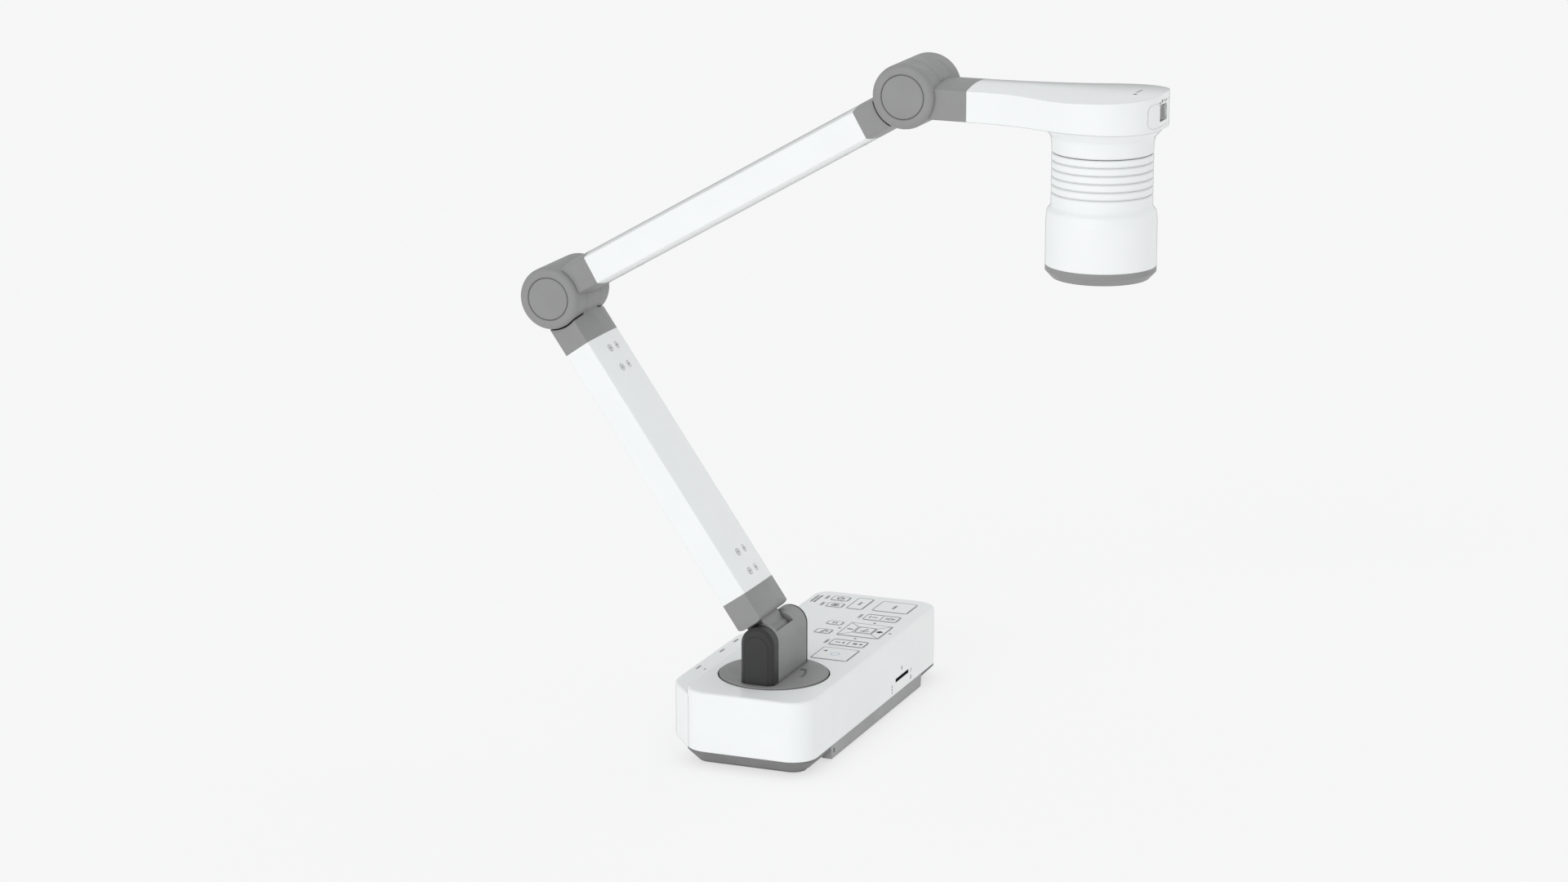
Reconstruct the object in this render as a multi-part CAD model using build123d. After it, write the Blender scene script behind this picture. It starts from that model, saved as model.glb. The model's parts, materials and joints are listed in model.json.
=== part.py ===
from build123d import *

import os
from math import cos, radians, sin

# Document camera: a camera head hangs over the desk from a jointed arm of two
# beams, on a turntable at one end of a long base that carries the keys.
# Millimetres. The origin is at desk level, where the base's middle line crosses
# the middle plane of the arm.
# +X: the way the arm reaches. +Y: along the base towards the keys. +Z: up.

# ---- Base ----
BASE_HALF = 47.5          # half the base's width
BASE_NEAR = -57.0         # end of the base beside the turntable
BASE_FAR = 207.5          # end of the base beyond the keys
BASE_RADII = (18.0, 18.0, 16.0, 12.0)  # corners, anticlockwise from low X, low Y
DESK_GAP = 1.5            # the feet lift the tray by this
TRAY_TOP = 11.0
BASE_TOP = 53.5
BASE_WALL = 2.5
TRAY_CHAMFER = 8.0
TRAY_FLOOR = 4.0          # upper face of the tray's floor
TRAY_RIM = 9.5

# Raised side block that holds the sockets
PORT_OUTER = -66.5
PORT_TOP = 48.5
PORT_NEAR = (-43.6, -50.7)  # where its near face meets the base's rounded corner
PORT_STRAIGHT_START = -23.1
PORT_STRAIGHT_END = 99.0
PORT_FAR = 120.0
PORT_ROOT = -20.0         # how far the block's plan reaches into the base

SKIRT_NEAR = -13.4
SKIRT_FAR = 168.5
SKIRT_DEPTH = 7.0

BASE_SCREWS = [(x, y) for x in (-40.5, 40.5) for y in (-38.0, 188.0)]
BASE_THREAD = 1.5
BASE_THREAD_TOP = 20.5
FOOT_RADIUS = 5.5
FOOT_PLACES = ((-28.0, -37.0), (28.0, -37.0), (0.0, 0.0), (0.0, 93.0), (-28.0, 187.0), (28.0, 187.0))
TETHER_SLOT = ((-8.2, -6.4), (5.0, 8.4))  # along Y, height
SKIRT_LEAN = 1.5          # each end of the side panel leans in by this
BALLAST_TOP = 13.0
BALLAST_BORE = 35.0       # clears the pedestal's foot

# Socket openings: low Y, high Y, height above the board
BOARD_TOP = 17.6
BOARD_THICKNESS = 1.6
SOCKETS = {
    "power_socket": (5.5, 16.5, 11.0),
    "video_socket": (46.5, 61.5, 6.0),
    "display_socket": (66.0, 94.0, 12.5),
}
SOCKET_GAP = 0.3
CARD_OPENING = ((114.6, 141.0), (19.5, 22.2))  # along Y, height
CARD_LIP = 0.2            # wall of the card socket's mouth in that opening

# ---- Keys: low X, high X, low Y, high Y ----
KEYS = {
    "key_power": (-30.5, -17.5, 185.5, 196.0),
    "key_source": (-28.2, -16.0, 169.0, 179.0),
    "key_menu": (-12.0, 0.0, 169.5, 197.5),
    "key_auto": (7.5, 34.5, 171.0, 196.0),
    "key_freeze": (-11.5, 0.0, 127.5, 136.0),
    "key_lamp": (-12.0, -0.5, 105.0, 115.0),
    "key_pad": (5.3, 37.0, 105.5, 137.0),
    "key_capture": (8.2, 35.3, 47.0, 74.2),
}
ROCKERS = {
    "rocker_bright": (9.0, 34.5, 149.0, 160.0),
    "rocker_zoom": (8.2, 34.5, 82.5, 93.5),
}
ENTER = (15.0, 27.7, 115.3, 128.4)
KEY_GAP = 0.25
KEY_PROUD = 0.2
KEY_TRAVEL = 0.6
KEY_BOTTOM = 48.6
KEY_RADIUS = 1.2
FLANGE = 1.0              # each key's hidden flange stands out this far
FLANGE_TOP = 50.3
ENTER_BOTTOM = 46.0
SWITCH_GAP = 0.1
SWITCH_HALF = 2.0
KEY_BOARD_TOP = 43.6
KEY_BOARD_POSTS = ((-33, 60), (-33, 155), (2, 60), (3.5, 152))
PIVOT_Z = 49.4            # tilt axis of the rockers
PIVOT_RADIUS = 0.8
PIVOT_REACH = 1.6         # how far each pivot pin stands out of its rocker's flange

# ---- Turntable and stand ----
SWIVEL = (-1.5, 3.0)
DISC_RADIUS = 38.2
DISC_GAP = 0.9
DISC_TOP = 54.5
DISC_BOTTOM = 50.0
HUB_RADIUS = 12.0
BOSS_RADIUS = 18.0
BUSHING_TOP = 46.0
RUNNING = 0.05            # radial clearance of every turning fit
POST_HALF = 12.2
POST_FRONT = -18.5
POST_REAR = 33.5
FRONT_CAP_DEPTH = 11.0
REAR_CAP_DEPTH = 2.0
SLOT_HALF = 15.2
SLOT_RADIUS = 9.0
SLOT_LOW_ANGLE = 39.0     # the slot opens between these angles, from +X up
SLOT_HIGH_ANGLE = 226.0
STAND_SCREWS = ((-6.5, -24.0), (5.5, -24.0), (-7.5, 27.0), (5.5, 27.0))
PANEL_INSET = 3.4         # raised panel on the front cap
PANEL_DROP = 2.6
PANEL_STEP = 0.8

# ---- Arm ----
SHOULDER = Vector(-1.5, 0, 82.5)
ELBOW = Vector(-156.0, 0, 313.6)
WRIST = Vector(102.3, 0, 470.3)
LOWER_ANGLE = 124.85      # direction of the lower beam, from +X up
UPPER_ANGLE = 30.05
LOWER_OFFSET = -1.8       # the beam's centre line lies this far outside its hinge axis
UPPER_OFFSET = 3.5
BEAM_WIDTH = 50.0
BEAM_SIDE = 19.6          # thickness at the beam's edges
BEAM_CROWN = 3.0          # how far each broad face bulges
BEAM_EDGE = 0.8
BEAM_WALL = 2.0
LOWER_BEAM = (34.9, 238.5)
UPPER_BEAM = (37.4, 264.2)
SPIGOT = 33.0
SPIGOT_INSET = BEAM_WALL + 0.1
END_CAP_START = 13.4
END_CAP_ROUND = 8.0
KNUCKLE_RADIUS = 8.5
KNUCKLE_HALF = 14.8
NECK_THICK = 6.5          # half the thickness of the bar between knuckle and cap
SHOULDER_PIN = 4.0
FRAME_HALF = 14.0
FRAME_THICKNESS = 4.0
ARM_SCREW_ROWS = (11.0, 26.5)
ARM_SCREW_Y = 5.3
SCREW_HEAD = 2.5
SCREW_THREAD = 1.2
SCREW_SOCKET = 0.9
SOCKET_DEPTH = 0.5
SCREW_SINK = 0.15         # the heads lie this far below the beam's face

# ---- Elbow and wrist: one design ----
HINGE_RADIUS = 21.8
HINGE_HALF = 29.0
HINGE_ROUND = 4.0
EAR_INNER = 11.55
TONGUE_HALF = 11.4
TONGUE_GAP = 0.3
SADDLE_RADIUS = 22.8
HINGE_PIN = 5.0
PIN_HEAD = 8.0
COVER_RADIUS = 14.8
COVER_GROOVE = 0.08
COVER_BEVEL = 0.65
COVER_DEPTH = 2.4
WASHER_RADIUS = 13.9

# ---- Head ----
NECK_END = 43.2           # from the wrist axis
HEAD_BOTTOM = 456.0
HEAD_SIDE_TOP = 476.5
HEAD_TOP = 479.5
HEAD_WALL = 2.3
BARREL_X = 231.5
NOSE_HALF = 42.3
NOSE_FRONT = 40.7         # flat front of the nose, from the barrel's axis
NOSE_CORNER = 34.0
NECK_HALF = 25.5
WAIST_X = 185.0
WAIST_HALF = 30.0
SWITCH_HALF_WIDTH = 7.5
SWITCH_Z = (461.5, 472.5)
SWITCH_DEPTH = 3.0
SWITCH_TRAVEL = 2.0
SWITCH_BLOCK = 34.5       # solid nose behind the switch starts here, from the barrel's axis
SWITCH_CORNER = 3.0
SEAM_HALF = 23.3          # faint seam round the switch, on the nose
SEAM_Z = (458.3, 474.6)
SEAM_DEPTH = 0.12
SLEEVE_LENGTH = 26.0      # stretch of the head that is a closed tube round the neck's plug

# ---- Barrel ----
NECK_RADIUS = 33.5
CONE_BEND = ((35.2, 450.2), (34.1, 447.6), (NECK_RADIUS, 443.0))  # radius, height
COLLAR_RADIUS = 36.7
GROOVES = 6               # the top one is the seam where the barrel turns
GROOVE_TOP = 438.3
SEAM_GAP = 0.15           # half the gap at that seam
GROOVE_STEP = 5.36
GROOVE_SIZE = 0.9
FLARE_TOP = 404.3
FLARE_BOTTOM = 398.3
COLLAR_TAPER = 393.0      # the collar widens a little more down to here
COLLAR_SHOULDER = 0.5
RING_TOP = 363.7
RING_EDGE = 360.0
RING_BOTTOM = 355.3
RING_MOUTH = 32.4
WINDOW_BOTTOM = 357.4
SLEEVE_HUB = 22.0
LENS_TUBE = 14.0


# ---------------------------------------------------------------- helpers

def bar_y(radius, low, high):
    """Round bar along Y through the local origin."""
    return Pos(0, (low + high) / 2, 0) * Rot(90, 0, 0) * Cylinder(radius, high - low)


def bar_z(radius, low, high, x=0.0, y=0.0):
    """Round bar along Z."""
    return Pos(x, y, (low + high) / 2) * Cylinder(radius, high - low)


def ring_z(outer, inner, low, high, x=0.0, y=0.0):
    """Round tube along Z."""
    return bar_z(outer, low, high, x, y) - bar_z(inner, low - 1, high + 1, x, y)


def block(x, y, z):
    """Box from (low, high) pairs."""
    middle = [(low + high) / 2 for low, high in (x, y, z)]
    size = [high - low for low, high in (x, y, z)]
    return Pos(*middle) * Box(*size)


def lift(plan, low, high):
    """Flat plan raised into a solid between two heights."""
    return extrude(Pos(0, 0, low) * plan, amount=high - low, dir=(0, 0, 1))


def rounded(corners, radii):
    """Polygon with a radius at each corner; 0 leaves a corner sharp."""
    plan = make_face(Polyline(*corners, close=True))
    for corner, radius in zip(corners, radii):
        if radius:
            plan = fillet(plan.vertices().sort_by_distance(corner)[0], radius)
    return plan


def rectangle(x_low, x_high, y_low, y_high, grow=0.0):
    """Corners of an upright rectangle, grown on every side."""
    low_x, high_x = x_low - grow, x_high + grow
    low_y, high_y = y_low - grow, y_high + grow
    return [(low_x, low_y), (high_x, low_y), (high_x, high_y), (low_x, high_y)]


def top_edges(solid, height):
    """Edges that lie wholly at one height."""
    return solid.edges().filter_by_position(Axis.Z, height - 0.01, height + 0.01)


def arm_plane(origin, angle):
    """Local frame of an arm: X along the beam, Z towards its outer side."""
    along = (cos(radians(angle)), 0, sin(radians(angle)))
    outward = (-sin(radians(angle)), 0, cos(radians(angle)))
    return Plane(origin, x_dir=along, z_dir=outward)


LOWER = arm_plane(SHOULDER, LOWER_ANGLE)
UPPER = arm_plane(ELBOW, UPPER_ANGLE)
HEAD = arm_plane(WRIST, 0.0)
ELBOW_ON_LOWER = LOWER.to_local_coords(ELBOW)
WRIST_ON_UPPER = UPPER.to_local_coords(WRIST)


# ---------------------------------------------------------------- base

def main_plan(inset=0.0):
    """Plan of the base's body."""
    corners = rectangle(-BASE_HALF, BASE_HALF, BASE_NEAR, BASE_FAR, -inset)
    return rounded(corners, [max(radius - inset, 1.0) for radius in BASE_RADII])


def port_plan(inset=0.0):
    """Plan of the socket block, which reaches into the base's body."""
    corners = [
        (PORT_ROOT, PORT_NEAR[1] + inset),
        (PORT_NEAR[0], PORT_NEAR[1] + inset),
        (PORT_OUTER + inset, PORT_STRAIGHT_START + 0.4 * inset),
        (PORT_OUTER + inset, PORT_STRAIGHT_END),
        (-BASE_HALF, PORT_FAR - inset),
        (PORT_ROOT, PORT_FAR - inset),
    ]
    return rounded(corners, [0, 0, 28.0, 20.0, 0, 0])


def key_opening(bounds):
    """Hole in the base's top for one key."""
    corners = rectangle(*bounds, grow=KEY_GAP)
    plan = rounded(corners, [KEY_RADIUS + KEY_GAP] * 4)
    return lift(plan, BASE_TOP - BASE_WALL - 1, BASE_TOP + 1)


def rocker_pin(name, radius=PIVOT_RADIUS, gap=0.0):
    """Pin along the tilt axis of a rocker."""
    x_low, x_high, y_low, y_high = ROCKERS[name]
    reach = FLANGE + PIVOT_REACH + gap
    return Pos((x_low + x_high) / 2, 0, PIVOT_Z) * bar_y(radius, y_low - reach, y_high + reach)


def rocker_hangers(name):
    """Two lugs under the casing's top that hold a rocker's pin."""
    x_low, x_high, y_low, y_high = ROCKERS[name]
    x = (x_low + x_high) / 2
    near, far = FLANGE + KEY_GAP, FLANGE + PIVOT_REACH + 0.4
    lugs = Part() + [
        block((x - 2.2, x + 2.2), y, (PIVOT_Z - 2.0, BASE_TOP - 1))
        for y in ((y_low - far, y_low - near), (y_high + near, y_high + far))
    ]
    return lugs - rocker_pin(name, PIVOT_RADIUS + RUNNING, 1.0)


def socket_box(name, grow=0.0):
    """Space that a socket takes in the side block's wall."""
    low, high, height = SOCKETS[name]
    return block((PORT_OUTER + 0.2, -54.0), (low - grow, high + grow),
                 (BOARD_TOP - grow, BOARD_TOP + height + grow))


def base_shell():
    """White upper casing: body, open below, and side block in one moulding."""
    body = lift(main_plan(), TRAY_TOP, BASE_TOP)
    body = fillet(top_edges(body, BASE_TOP), 2.0)
    side = lift(port_plan(), TRAY_TOP, PORT_TOP)
    side = fillet(top_edges(side, PORT_TOP), 1.5)
    shell = body + side
    shell -= lift(main_plan(BASE_WALL), TRAY_TOP - 1, BASE_TOP - BASE_WALL)
    shell -= lift(port_plan(BASE_WALL), TRAY_TOP + BASE_WALL, PORT_TOP - BASE_WALL)
    for x, y in BASE_SCREWS:
        shell += bar_z(4.6, TRAY_TOP, BASE_TOP - 1, x, y)
        shell -= bar_z(BASE_THREAD, TRAY_TOP - 1, BASE_THREAD_TOP, x, y)
    for x, y in KEY_BOARD_POSTS:
        shell += bar_z(2.2, KEY_BOARD_TOP, BASE_TOP - 1, x, y)
    for name in ROCKERS:
        shell += rocker_hangers(name)
    shell -= bar_z(DISC_RADIUS + DISC_GAP, BASE_TOP - BASE_WALL - 1, BASE_TOP + 1, *SWIVEL)
    for bounds in (*KEYS.values(), *ROCKERS.values()):
        shell -= key_opening(bounds)
    shell -= block((BASE_HALF - 4, BASE_HALF + 1), *CARD_OPENING)
    for name in SOCKETS:
        hole = socket_box(name, SOCKET_GAP)
        shell -= hole + Pos(-2, 0, 0) * hole
    return shell


def skirt_block(grow=0.0):
    """Side panel's block; its ends lean in a little towards the bottom."""
    outline = [
        (SKIRT_NEAR - grow, TRAY_TOP),
        (SKIRT_NEAR + SKIRT_LEAN - grow, DESK_GAP),
        (SKIRT_FAR - SKIRT_LEAN + grow, DESK_GAP),
        (SKIRT_FAR + grow, TRAY_TOP),
    ]
    inner = Plane.YZ.offset(BASE_HALF - SKIRT_DEPTH - grow)
    face = make_face(Polyline(*outline, close=True))
    return extrude(inner * face, amount=SKIRT_DEPTH + grow, dir=(1, 0, 0))


def base_tray():
    """Dark lower casing: floor and thick rim."""
    tray = lift(main_plan(), DESK_GAP, TRAY_TOP)
    tray = chamfer(top_edges(tray, DESK_GAP), TRAY_CHAMFER)
    tray -= lift(main_plan(TRAY_RIM), TRAY_FLOOR, TRAY_TOP + 1)
    tray -= skirt_block(0.1)
    for x, y in FOOT_PLACES:
        tray -= bar_z(FOOT_RADIUS + 0.05, 0, 2.7, x, y)
    for x, y in BASE_SCREWS:
        tray -= bar_z(3.0, 0, 6.5, x, y)
        tray -= bar_z(BASE_THREAD + 0.1, 0, TRAY_TOP + 1, x, y)
    return tray


def base_skirt():
    """Grey panel set in the tray's side, with a small slot for a tether."""
    panel = skirt_block()
    return panel - block((BASE_HALF - 4, BASE_HALF + 1), *TETHER_SLOT)


def base_feet():
    """Six rubber pads in pockets of the tray."""
    return Part() + [
        chamfer(top_edges(bar_z(FOOT_RADIUS, 0, 2.7, x, y), 0), 0.5) for x, y in FOOT_PLACES
    ]


def base_ballast():
    """Steel plate that keeps the base down, with four pillars for the board."""
    outline = rounded(rectangle(-35.0, 35.0, -45.0, 195.0), [8.0] * 4)
    plate = lift(outline, TRAY_FLOOR, BALLAST_TOP)
    plate -= bar_z(BALLAST_BORE, 0, BALLAST_TOP + 1, *SWIVEL)
    for x in (-30, 30):
        for y in (60, 180):
            plate += bar_z(3.0, BALLAST_TOP - 1, BOARD_TOP - BOARD_THICKNESS, x, y)
    return plate


def base_screws():
    """Four screws from below, tray to shell."""
    return Part() + [
        bar_z(2.8, 5.0, 6.5, x, y) + bar_z(BASE_THREAD, 6.4, BASE_THREAD_TOP - 0.5, x, y)
        for x, y in BASE_SCREWS
    ]


def pedestal():
    """Cast column on the tray's floor that carries the turntable."""
    column = bar_z(34.0, TRAY_FLOOR, 8.0) + bar_z(24.0, TRAY_FLOOR, 44.0)
    column -= bar_z(20.0, 0, 14.0)
    column -= bar_z(15.0, 0, 50.0)
    return Pos(*SWIVEL, 0) * column


def swivel_bushing():
    """Flanged bush, pressed into the pedestal, that the turntable turns in."""
    bush = bar_z(15.0, 14.0, BUSHING_TOP) + bar_z(17.0, 44.0, BUSHING_TOP)
    return Pos(*SWIVEL, 0) * (bush - bar_z(HUB_RADIUS + RUNNING, 0, 50))


def main_board():
    """Circuit board beside the sockets, with its larger chips."""
    low = BOARD_TOP - BOARD_THICKNESS
    board = block((-35, 35), (42, 195), (low, BOARD_TOP))
    board += block((-60, -30), (-6, 100), (low, BOARD_TOP))
    for x, y, size in ((-10, 90, 9.0), (12, 160, 7.0), (-18, 150, 6.0), (8, 62, 5.0)):
        board += block((x - size, x + size), (y - size, y + size), (low, BOARD_TOP + 1.8))
    return board


def switch_places():
    """Centre and top height of the switch under each key."""
    flush = KEY_BOTTOM - KEY_TRAVEL - SWITCH_GAP
    places = []
    for name, (x_low, x_high, y_low, y_high) in KEYS.items():
        x, y = (x_low + x_high) / 2, (y_low + y_high) / 2
        if name == "key_pad":
            places += [(x + dx, y + dy, flush) for dx, dy in ((-12, 0), (12, 0), (0, -12), (0, 12))]
        else:
            places.append((x, y, flush))
    for x_low, x_high, y_low, y_high in ROCKERS.values():
        y = (y_low + y_high) / 2
        places += [(x_low + 4, y, flush), (x_high - 4, y, flush)]
    x, y = (ENTER[0] + ENTER[1]) / 2, (ENTER[2] + ENTER[3]) / 2
    places.append((x, y, ENTER_BOTTOM - KEY_TRAVEL - SWITCH_GAP))
    return places


def key_board():
    """Circuit board under the keys with one small switch for each press."""
    board = block((-35.5, 35.5), (44, 201), (KEY_BOARD_TOP - BOARD_THICKNESS, KEY_BOARD_TOP))
    for x, y, top in switch_places():
        board += block((x - SWITCH_HALF, x + SWITCH_HALF), (y - SWITCH_HALF, y + SWITCH_HALF),
                       (KEY_BOARD_TOP - 1, top))
    return board


def card_socket():
    """Card socket whose mouth fills the opening in the base's side."""
    def inside(gap):
        return [(low + gap, high - gap) for low, high in CARD_OPENING]

    cage = block((20.0, 44.6), (113.2, 142.4), (BOARD_TOP + 0.1, 23.4))
    mouth = block((44.0, BASE_HALF - 0.1), *inside(0.05))
    return cage + mouth - block((22.0, 50.0), *inside(0.05 + CARD_LIP))


def power_socket():
    """Round power inlet."""
    low, high, height = SOCKETS["power_socket"]
    middle = Pos(-60, (low + high) / 2, BOARD_TOP + height / 2) * Rot(0, 90, 0)
    body = socket_box("power_socket") - Pos(-3, 0, 0) * middle * Cylinder(3.2, 14)
    return body + middle * Cylinder(1.0, 10)


def video_socket():
    """Flat digital video socket with its contact tongue."""
    low, high, height = SOCKETS["video_socket"]
    body = socket_box("video_socket")
    body -= block((-70, -56), (low + 0.6, high - 0.6), (BOARD_TOP + 0.6, BOARD_TOP + height - 0.6))
    tongue = block((-64.5, -55.5), (low + 2.5, high - 2.5), (BOARD_TOP + 2.4, BOARD_TOP + 3.6))
    return body + tongue


def display_socket():
    """Fifteen-pin display socket with two hex posts."""
    low, high, height = SOCKETS["display_socket"]
    middle_y, middle_z = (low + high) / 2, BOARD_TOP + height / 2
    body = socket_box("display_socket")
    body -= block((-70, -63.5), (low, high), (BOARD_TOP, BOARD_TOP + height))
    body += block((-66.3, -63), (middle_y - 8.2, middle_y + 8.2), (middle_z - 4, middle_z + 4))
    for row in (-2, 0, 2):
        for column in range(5):
            hole = Pos(-66, middle_y + (column - 2) * 2.7, middle_z + row) * Rot(0, 90, 0)
            body -= hole * Cylinder(0.6, 6)
    for side in (-12.0, 12.0):
        post = extrude(RegularPolygon(2.4, 6), 2, both=True)
        body += Pos(-64.5, middle_y + side, middle_z) * Rot(0, 90, 0) * post
    return body


# ---------------------------------------------------------------- keys

def key_cap(bounds, low=KEY_BOTTOM, flange_top=FLANGE_TOP):
    """Key with soft top edges and a flange that keeps it under the casing."""
    top = BASE_TOP + KEY_PROUD
    cap = lift(rounded(rectangle(*bounds), [KEY_RADIUS] * 4), low, top)
    cap = fillet(top_edges(cap, top), 0.35)
    return cap + lift(rounded(rectangle(*bounds, grow=FLANGE), [KEY_RADIUS] * 4), low, flange_top)


def key_pad():
    """Four-way plate with a hole for the enter key."""
    plate = key_cap(KEYS["key_pad"])
    hole = rounded(rectangle(*ENTER, grow=KEY_GAP), [KEY_RADIUS + KEY_GAP] * 4)
    return plate - lift(hole, KEY_BOTTOM - 1, BASE_TOP + 1)


def key_enter():
    """Key in the middle of the four-way plate, held from below it."""
    return key_cap(ENTER, ENTER_BOTTOM, ENTER_BOTTOM + 1.0)


# ---------------------------------------------------------------- turntable and stand

def turntable_disc():
    """Disc with its boss and the hollow hub that turns in the bush."""
    disc = fillet(top_edges(bar_z(DISC_RADIUS, DISC_BOTTOM, DISC_TOP), DISC_TOP), 0.5)
    disc += bar_z(BOSS_RADIUS, BUSHING_TOP + RUNNING, DISC_BOTTOM + 1)
    disc += bar_z(HUB_RADIUS, 9.8, DISC_BOTTOM + 1)
    disc -= bar_z(6.0, 0, 60)
    disc = Pos(*SWIVEL, 0) * disc
    for x, y in STAND_SCREWS:
        disc -= bar_z(1.6, 40, 60, x, y)
    return disc


def swivel_nut():
    """Ring on the hub's lower end that keeps the turntable in its bush."""
    return ring_z(18.0, HUB_RADIUS, 9.8, 13.9, *SWIVEL)


def arch(half, drop=0.0):
    """Upright arch on the disc, centred on the shoulder or a drop below it, on the X-Z plane."""
    left, middle, right = SHOULDER.X - half, SHOULDER.X, SHOULDER.X + half
    centre = SHOULDER.Z - drop
    outline = [
        Line((left, DISC_TOP), (right, DISC_TOP)),
        Line((right, DISC_TOP), (right, centre)),
        ThreePointArc((right, centre), (middle, centre + half), (left, centre)),
        Line((left, centre), (left, DISC_TOP)),
    ]
    return make_face(outline)


def along_y(face, low, high):
    """Face drawn on the X-Z plane, extruded between two Y values."""
    return extrude(Plane.XZ.offset(-low) * face, amount=high - low, dir=(0, 1, 0))


def stand_post():
    """Grey arch with the slot that the lower arm's knuckle turns in."""
    post = along_y(arch(POST_HALF), POST_FRONT, POST_REAR)
    reach = 30.0
    mouth = [(0, 0)]
    for angle in (SLOT_LOW_ANGLE, 90.0, 160.0, SLOT_HIGH_ANGLE):
        mouth.append((reach * cos(radians(angle)), reach * sin(radians(angle))))
    wedge = along_y(make_face(Polyline(*mouth, close=True)), -SLOT_HALF, SLOT_HALF)
    post -= Pos(SHOULDER) * (wedge + bar_y(SLOT_RADIUS, -SLOT_HALF, SLOT_HALF))
    post -= Pos(SHOULDER) * bar_y(SHOULDER_PIN, POST_FRONT - 1, POST_REAR + 1)
    post -= bar_z(4.0, 50, SHOULDER.Z, *SWIVEL)
    for x, y in STAND_SCREWS[2:]:
        post -= bar_z(1.5, 50, 64, x, y)
    return post


def bevel_front(solid, size):
    """Chamfers the edges of a solid's front face, except where it stands on the disc."""
    edges = solid.edges().group_by(Axis.Y)[0]
    return chamfer(edges.filter_by(lambda edge: edge.center().Z > DISC_TOP + 1), size)


def stand_front_cap():
    """Black cap over the front of the arch, with a bevelled, stepped face."""
    front = POST_FRONT - FRONT_CAP_DEPTH
    cap = bevel_front(along_y(arch(POST_HALF), front + PANEL_STEP, POST_FRONT), 2.2)
    panel = along_y(arch(POST_HALF - PANEL_INSET, PANEL_DROP), front, front + 2)
    cap += bevel_front(panel, 0.7)
    for x, y in STAND_SCREWS[:2]:
        cap -= bar_z(1.5, 50, 64, x, y)
    return cap


def stand_rear_cap():
    """Thin dark rim on the rear of the arch."""
    rear = POST_REAR + REAR_CAP_DEPTH
    return along_y(arch(POST_HALF), POST_REAR, rear)


def stand_screws():
    """Four screws up through the disc."""
    return Part() + [
        bar_z(2.8, DISC_BOTTOM - 1.5, DISC_BOTTOM, x, y) + bar_z(1.5, DISC_BOTTOM - 0.1, 63.5, x, y)
        for x, y in STAND_SCREWS
    ]


def shoulder_shaft():
    """Pin through the stand that the lower arm tilts on."""
    return Pos(SHOULDER) * bar_y(SHOULDER_PIN, POST_FRONT, POST_REAR)


# ---------------------------------------------------------------- arm pieces shared by both beams

def beam_section(inset=0.0):
    """Section of a beam: flat sides and two crowned broad faces."""
    half = BEAM_WIDTH / 2 - inset
    side = BEAM_SIDE / 2 - inset
    crown = side + BEAM_CROWN
    outline = [
        ThreePointArc((-half, side), (0, crown), (half, side)),
        Line((half, side), (half, -side)),
        ThreePointArc((half, -side), (0, -crown), (-half, -side)),
        Line((-half, -side), (-half, side)),
    ]
    return fillet(make_face(outline).vertices(), BEAM_EDGE)


def along_x(section, start, end, offset=0.0):
    """Section drawn on the local Y-Z plane, extruded along local X."""
    plane = Plane((start, 0, offset), x_dir=(0, 1, 0), z_dir=(1, 0, 0))
    return extrude(plane * section, amount=end - start, dir=(1, 0, 0))


def screw_places(span):
    """Local places of a beam's eight screws: four at each end."""
    start, end = span
    rows = [start + row for row in ARM_SCREW_ROWS] + [end - row for row in ARM_SCREW_ROWS]
    return [(row, y) for row in rows for y in (-ARM_SCREW_Y, ARM_SCREW_Y)]


def inner_face(offset):
    """Height of the beam's inner broad face in its local frame."""
    return offset - BEAM_SIDE / 2 - BEAM_CROWN


def beam(span, offset):
    """White sleeve of an arm with its eight screw holes."""
    start, end = span
    tube = along_x(beam_section(), start, end, offset)
    tube -= along_x(beam_section(BEAM_WALL), start - 1, end + 1, offset)
    face = inner_face(offset)
    for x, y in screw_places(span):
        tube -= bar_z(SCREW_HEAD + 0.1, face - 1, face + 4, x, y)
    return tube


def arm_screws(span, offset):
    """Eight hex-socket screws, heads sunk in the sleeve, threads in the end caps."""
    seat = inner_face(offset) + SPIGOT_INSET + 0.1
    head = inner_face(offset) + SCREW_SINK
    screw = bar_z(SCREW_HEAD, head, seat) + bar_z(SCREW_THREAD, seat - 0.1, seat + 6)
    screw -= Pos(0, 0, head) * extrude(RegularPolygon(SCREW_SOCKET, 6), SOCKET_DEPTH)
    return Part() + [Pos(x, y, 0) * screw for x, y in screw_places(span)]


def arm_frame(span, offset):
    """Aluminium bar inside a beam, held in slots of both end caps."""
    start, end = span
    half = FRAME_THICKNESS / 2
    return block((start + 4, end - 4), (-FRAME_HALF, FRAME_HALF), (offset - half, offset + half))


def spigot(span, end_of_beam, offset):
    """Plug of an end cap that fills the beam, slotted for the inner bar."""
    start, end = span
    if end_of_beam == start:
        low, high = start - 1, start + SPIGOT
    else:
        low, high = end - SPIGOT, end + 1
    plug = along_x(beam_section(SPIGOT_INSET), low, high, offset)
    half = FRAME_THICKNESS / 2 + 0.05
    slot = block((start + 3.9, end - 3.9), (-FRAME_HALF - 0.05, FRAME_HALF + 0.05),
                 (offset - half, offset + half))
    plug -= slot
    seat = inner_face(offset) + SPIGOT_INSET
    for x, y in screw_places(span):
        plug -= bar_z(SCREW_HEAD + 0.1, seat - 1, seat + 0.1, x, y)
        plug -= bar_z(SCREW_THREAD, seat - 1, seat + 6.2, x, y)
    return plug


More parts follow.
